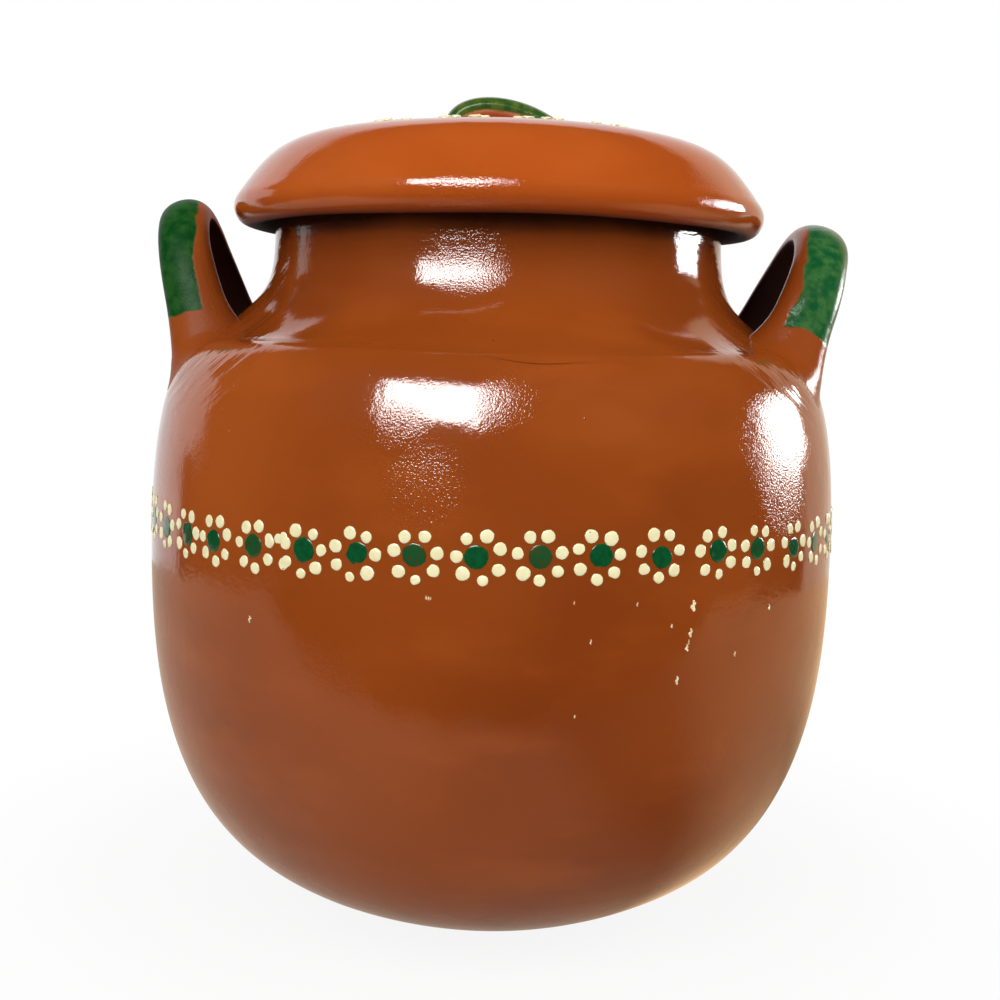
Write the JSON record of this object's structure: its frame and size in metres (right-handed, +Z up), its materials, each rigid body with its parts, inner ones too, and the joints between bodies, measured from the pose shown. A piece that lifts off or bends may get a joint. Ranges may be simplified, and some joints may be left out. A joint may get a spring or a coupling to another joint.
{
  "type": "lidded clay bean pot",
  "caption": "Round-bellied glazed clay olla with a short neck, two strap ears, a domed lid with a low strap grip and a band of slip-dot flowers.",
  "frame": {"origin": "centre of the flat disc that the pot stands on", "axes": "+Z up along the pot's axis, +X towards the right ear, -Y towards the viewer in the picture"},
  "size_m": [0.2544, 0.2534, 0.297],
  "materials": {
    "pot_glaze": "clear lead-free gloss glaze over red clay, green brush marks on the ears",
    "lid_glaze": "clear gloss glaze over a brighter orange clay",
    "cream_slip": "raised cream slip under gloss glaze",
    "green_slip": "raised copper-green slip under gloss glaze"
  },
  "bodies": {
    "pot": {"bowl": "pot_glaze", "neck": "pot_glaze", "left_handle": "pot_glaze", "right_handle": "pot_glaze", "band_centres": "green_slip", "band_petals": "cream_slip"},
    "lid": {"lid_dome": "lid_glaze", "lid_handle": "lid_glaze", "lid_centres": "green_slip", "lid_petals": "cream_slip"}
  },
  "joints": [
    {"name": "lid_lift", "type": "slide", "parent": "pot", "child": "lid", "axis": [0, 0, 1], "range_m": [0, 0.15]}
  ]
}
